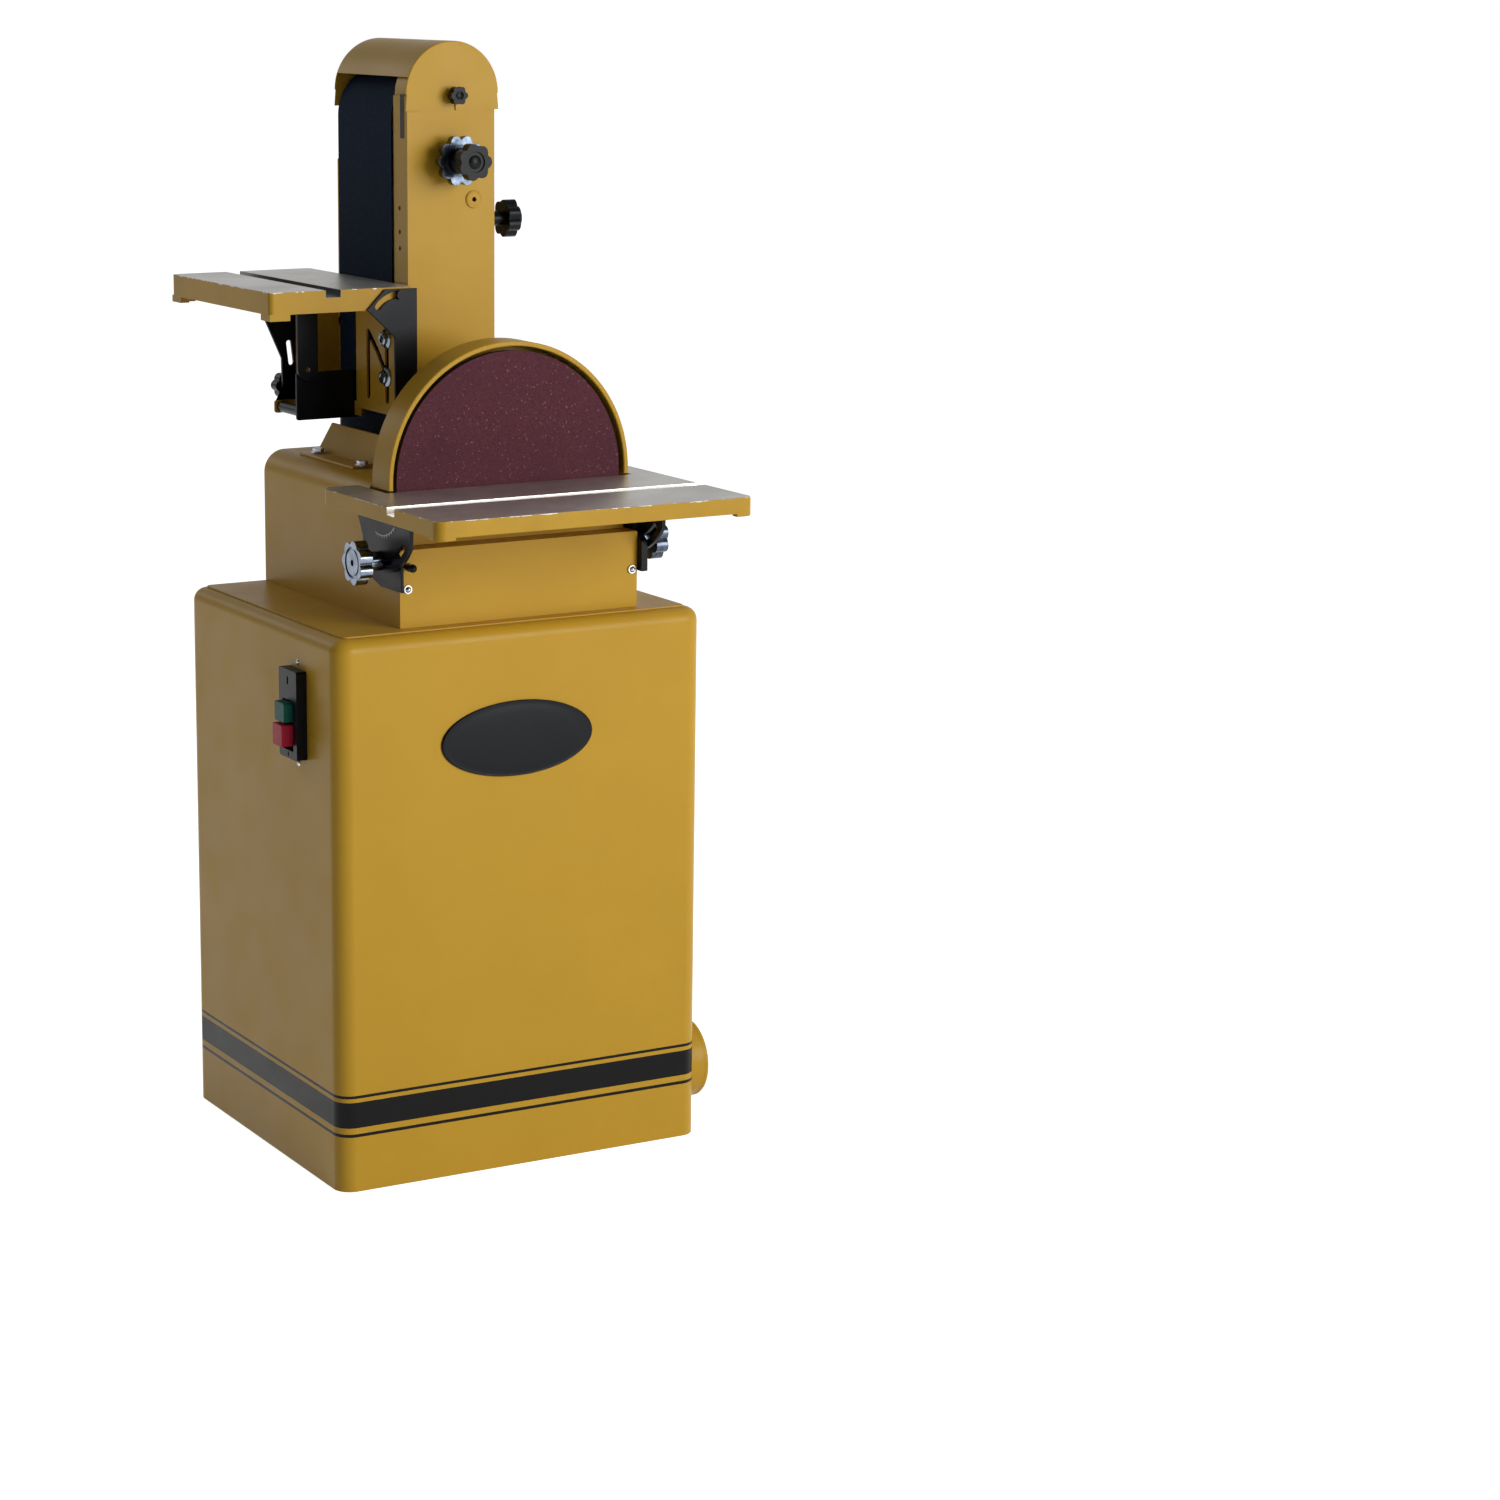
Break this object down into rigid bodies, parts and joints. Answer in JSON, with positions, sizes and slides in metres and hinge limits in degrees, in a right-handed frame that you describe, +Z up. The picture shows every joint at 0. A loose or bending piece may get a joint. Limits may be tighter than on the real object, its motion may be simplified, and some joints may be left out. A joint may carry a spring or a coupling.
{
  "type": "belt disc sander",
  "caption": "Free-standing sanding machine: a vertical abrasive belt column that tilts, a side disc, two tilting tables and a closed steel cabinet.",
  "frame": {"origin": "centre of the cabinet's foot, on the floor", "axes": "+Z up, the disc faces -Y (front), the belt's working face and the switch face -X"},
  "size_m": [0.551, 0.67, 1.3655],
  "materials": {
    "yellow_enamel": "gloss enamel",
    "black_enamel": "satin enamel",
    "ground_iron": "ground and oiled",
    "raw_iron": "as cast",
    "machined_steel": "turned",
    "zinc_plate": "bright zinc",
    "knob_chrome": "polished",
    "disc_abrasive": "coated abrasive paper",
    "belt_abrasive": "coated abrasive cloth",
    "drive_rubber": "matt",
    "black_plastic": "moulded",
    "start_green": "moulded",
    "stop_red": "moulded",
    "motor_enamel": "satin enamel"
  },
  "bodies": {
    "root": {"cabinet_shell": "yellow_enamel", "floor_pan": "yellow_enamel", "base_plate": "yellow_enamel", "rear_access_panel": "yellow_enamel", "dust_port": "yellow_enamel", "dust_chute": "machined_steel", "switch_plate": "black_enamel", "switch_box": "black_plastic", "motor_shelf": "black_enamel", "motor_body": "motor_enamel", "drive_belt": "drive_rubber", "pedestal_housing": "yellow_enamel", "front_panel": "yellow_enamel", "pulley_cover": "yellow_enamel", "disc_guard": "yellow_enamel", "lower_belt_guard": "yellow_enamel", "spindle_housing": "raw_iron", "spindle_bracket_rear": "raw_iron", "bearing_front": "machined_steel", "bearing_rear": "machined_steel", "trunnion_bracket_left": "black_enamel", "trunnion_bracket_right": "black_enamel", "cable_gland": "black_plastic"},
    "motor_rotor": {"motor_shaft": "machined_steel", "motor_pulley": "raw_iron"},
    "spindle": {"spindle_pulley": "raw_iron", "spindle_shaft": "machined_steel", "disc_plate": "raw_iron", "abrasive_disc": "disc_abrasive", "drive_drum": "machined_steel"},
    "column": {"column_frame": "yellow_enamel", "platen": "machined_steel", "return_guard": "yellow_enamel", "abrasive_belt": "belt_abrasive", "slot_bolts": "zinc_plate", "tension_spring": "machined_steel"},
    "idler_carriage": {"tension_block": "raw_iron"},
    "idler": {"idler_drum": "machined_steel"},
    "tension_wheel": {"tension_wheel": "knob_chrome"},
    "tension_lock": {"tension_lock_knob": "black_plastic"},
    "tracking_knob": {"tracking_knob": "black_plastic"},
    "top_cover": {"top_cover": "yellow_enamel"},
    "cover_knob": {"cover_knob": "black_plastic"},
    "table_carriage": {"tilt_bracket": "black_enamel", "slotted_plate": "yellow_enamel", "support_web": "black_enamel", "rear_support": "yellow_enamel"},
    "belt_table": {"belt_table": "ground_iron", "tilt_arm_middle": "black_enamel", "tilt_arm_rear": "black_enamel", "tilt_lock_bolt": "black_enamel"},
    "tilt_clamp": {"tilt_clamp_knob": "black_plastic"},
    "disc_table": {"disc_table": "ground_iron", "trunnion_quadrant_left": "black_enamel", "trunnion_quadrant_right": "black_enamel"},
    "clamp_left": {"table_clamp_left": "knob_chrome"},
    "clamp_right": {"table_clamp_right": "knob_chrome"},
    "start_button": {"start_button": "start_green"},
    "stop_button": {"stop_button": "stop_red"},
    "stop_plunger": {"stop_plunger": "black_enamel"}
  },
  "joints": [
    {"name": "spindle_spin", "type": "hinge", "parent": "root", "child": "spindle", "pos_m": [0.016, 0, 0.85], "axis": [0, 1, 0], "continuous": true},
    {"name": "motor_spin", "type": "hinge", "parent": "root", "child": "motor_rotor", "pos_m": [0.016, 0, 0.435], "axis": [0, 1, 0], "continuous": true},
    {"name": "column_tilt", "type": "hinge", "parent": "root", "child": "column", "pos_m": [0.016, 0, 0.85], "axis": [0, 1, 0], "range_deg": [0, 90]},
    {"name": "tension_turn", "type": "hinge", "parent": "column", "child": "tension_wheel", "pos_m": [0.016, 0, 1.222], "axis": [0, 1, 0], "range_deg": [0, 34]},
    {"name": "tension_slide", "type": "slide", "parent": "column", "child": "idler_carriage", "axis": [0, 0, 1], "range_m": [-0.0059, 0], "deforming": ["tension_spring"]},
    {"name": "idler_spin", "type": "hinge", "parent": "idler_carriage", "child": "idler", "pos_m": [0.016, 0, 1.27], "axis": [0, 1, 0], "continuous": true},
    {"name": "tension_lock_turn", "type": "hinge", "parent": "column", "child": "tension_lock", "pos_m": [0.016, 0, 1.222], "axis": [0, 1, 0], "range_deg": [-180, 180]},
    {"name": "tracking_turn", "type": "hinge", "parent": "column", "child": "tracking_knob", "pos_m": [0.1, 0.019, 1.147], "axis": [1, 0, 0], "range_deg": [-180, 180]},
    {"name": "cover_lift", "type": "slide", "parent": "column", "child": "top_cover", "axis": [0, 0, 1], "range_m": [0, 0.08]},
    {"name": "cover_knob_turn", "type": "hinge", "parent": "column", "child": "cover_knob", "pos_m": [0.018, 0, 1.3], "axis": [0, 1, 0], "range_deg": [-180, 180]},
    {"name": "table_height", "type": "slide", "parent": "column", "child": "table_carriage", "axis": [0, 0, 1], "range_m": [0, 0.024]},
    {"name": "belt_table_tilt", "type": "hinge", "parent": "table_carriage", "child": "belt_table", "pos_m": [-0.069, 0, 1.0265], "axis": [0, 1, 0], "range_deg": [-45, 0]},
    {"name": "tilt_clamp_turn", "type": "hinge", "parent": "belt_table", "child": "tilt_clamp", "pos_m": [-0.1095, 0.22, 0.929], "axis": [0, 1, 0], "range_deg": [-180, 180]},
    {"name": "disc_table_tilt", "type": "hinge", "parent": "root", "child": "disc_table", "pos_m": [0, -0.155, 0.842], "axis": [1, 0, 0], "range_deg": [0, 45]},
    {"name": "clamp_left_turn", "type": "hinge", "parent": "root", "child": "clamp_left", "pos_m": [-0.17, -0.15, 0.76], "axis": [1, 0, 0], "range_deg": [-180, 180]},
    {"name": "clamp_right_turn", "type": "hinge", "parent": "root", "child": "clamp_right", "pos_m": [0.2, -0.15, 0.76], "axis": [1, 0, 0], "range_deg": [-180, 180]},
    {"name": "start_press", "type": "slide", "parent": "root", "child": "start_button", "axis": [1, 0, 0], "range_m": [0, 0.003], "stiffness_N_per_m": 400, "springref_m": -0.001},
    {"name": "stop_press", "type": "slide", "parent": "root", "child": "stop_button", "axis": [1, 0, 0], "range_m": [0, 0.003], "stiffness_N_per_m": 400, "springref_m": -0.001},
    {"name": "plunger_pull", "type": "slide", "parent": "root", "child": "stop_plunger", "axis": [0, -1, 0], "range_m": [0, 0.006], "stiffness_N_per_m": 400, "springref_m": -0.001}
  ],
  "couplings": [
    {"joint": "motor_spin", "follows": "spindle_spin", "ratio": 1.2469},
    {"joint": "idler_spin", "follows": "spindle_spin", "ratio": 1},
    {"joint": "tension_turn", "follows": "tension_slide", "rad_per_m": -100}
  ]
}
